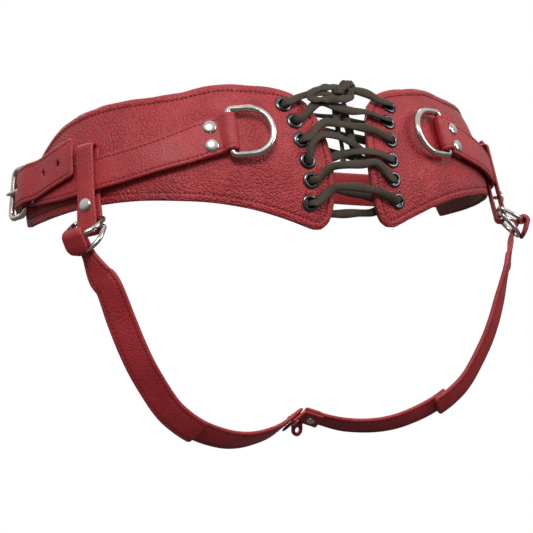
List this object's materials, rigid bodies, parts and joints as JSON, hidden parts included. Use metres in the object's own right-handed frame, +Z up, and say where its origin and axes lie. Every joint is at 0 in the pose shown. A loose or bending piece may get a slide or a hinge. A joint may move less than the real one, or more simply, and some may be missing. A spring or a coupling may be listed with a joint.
{
  "type": "laced leather hip harness",
  "caption": "Red leather hip harness laced at the back, with buckled side straps, D-rings and two leg straps that meet in a riveted patch.",
  "frame": {"origin": "middle of the hip outline, level with the belt line at the middle of the laced back", "axes": "+Z up, -Y towards the laced back, +X to the viewer's right when looking at the laced back"},
  "size_m": [0.3682, 0.2627, 0.2361],
  "materials": {
    "red_leather": "pebbled, soft sheen",
    "lining_leather": "smooth split",
    "nickel": "polished nickel plate",
    "gunmetal": "dark plated",
    "lace_leather": "dark oiled cord"
  },
  "bodies": {
    "belt": {"panel_left": "red_leather", "panel_right": "red_leather", "lining_left": "lining_leather", "lining_right": "lining_leather", "eyelets_left": "gunmetal", "eyelets_right": "gunmetal", "eyelet_washers_left": "gunmetal", "eyelet_washers_right": "gunmetal", "side_strap_left": "red_leather", "side_strap_right": "red_leather", "strap_rivets_left": "nickel", "strap_rivets_right": "nickel", "buckle_rivets_left": "nickel", "buckle_rivets_right": "nickel", "front_strap": "red_leather", "lace": "lace_leather", "lace_knot": "lace_leather", "lace_tail_left": "lace_leather", "lace_tail_right": "lace_leather"},
    "d_ring_left": {"d_ring_left": "nickel"},
    "buckle_left": {"buckle_frame_left": "nickel"},
    "tongue_left": {"buckle_tongue_left": "nickel"},
    "hanger_left": {"hanger_left": "red_leather", "hanger_rivet_left": "nickel"},
    "adjuster_left": {"lower_ring_left": "nickel"},
    "d_ring_right": {"d_ring_right": "nickel"},
    "buckle_right": {"buckle_frame_right": "nickel"},
    "tongue_right": {"buckle_tongue_right": "nickel"},
    "hanger_right": {"hanger_right": "red_leather", "hanger_rivet_right": "nickel"},
    "adjuster_right": {"lower_ring_right": "nickel"},
    "leg_harness": {"upper_ring_left": "nickel", "upper_ring_right": "nickel", "leg_upper_left": "red_leather", "leg_upper_right": "red_leather", "leg_lower_left": "red_leather", "leg_lower_right": "red_leather", "crotch_patch": "red_leather", "crotch_rivets": "nickel"}
  },
  "joints": [
    {"name": "d_ring_swing_left", "type": "hinge", "parent": "belt", "child": "d_ring_left", "pos_m": [-0.08179, -0.12723, 0.01474], "axis": [-0.0514, -0.1651, -0.9849], "range_deg": [0, 120]},
    {"name": "buckle_lift_left", "type": "hinge", "parent": "belt", "child": "buckle_left", "pos_m": [-0.17523, -0.00414, 0.00665], "axis": [0.1753, 0.002, 0.9845], "range_deg": [0, 6]},
    {"name": "tongue_lift_left", "type": "hinge", "parent": "buckle_left", "child": "tongue_left", "pos_m": [-0.17523, -0.00414, 0.00665], "axis": [0.1753, 0.002, 0.9845], "range_deg": [0, 10]},
    {"name": "hanger_slide_left", "type": "slide", "parent": "belt", "child": "hanger_left", "axis": [-0.5351, 0.8448, 0], "range_m": [-0.0025, 0.001]},
    {"name": "d_ring_swing_right", "type": "hinge", "parent": "belt", "child": "d_ring_right", "pos_m": [0.08179, -0.12723, 0.01474], "axis": [-0.0514, 0.1651, 0.9849], "range_deg": [0, 120]},
    {"name": "buckle_lift_right", "type": "hinge", "parent": "belt", "child": "buckle_right", "pos_m": [0.17523, -0.00414, 0.00665], "axis": [0.1753, -0.002, -0.9845], "range_deg": [0, 6]},
    {"name": "tongue_lift_right", "type": "hinge", "parent": "buckle_right", "child": "tongue_right", "pos_m": [0.17523, -0.00414, 0.00665], "axis": [0.1753, -0.002, -0.9845], "range_deg": [0, 10]},
    {"name": "hanger_slide_right", "type": "slide", "parent": "belt", "child": "hanger_right", "axis": [0.5351, 0.8448, 0], "range_m": [-0.0025, 0.001]},
    {"name": "leg_straps_swing", "type": "hinge", "parent": "belt", "child": "leg_harness", "pos_m": [0, -0.07533, -0.0293], "axis": [1, 0, 0], "range_deg": [0, 8]},
    {"name": "adjuster_swing_left", "type": "hinge", "parent": "leg_harness", "child": "adjuster_left", "pos_m": [-0.16106, -0.07559, -0.03395], "axis": [-0.5351, 0.8448, 0], "range_deg": [0, 8]},
    {"name": "adjuster_swing_right", "type": "hinge", "parent": "leg_harness", "child": "adjuster_right", "pos_m": [0.16106, -0.07559, -0.03395], "axis": [-0.5351, -0.8448, 0], "range_deg": [0, 8]}
  ]
}
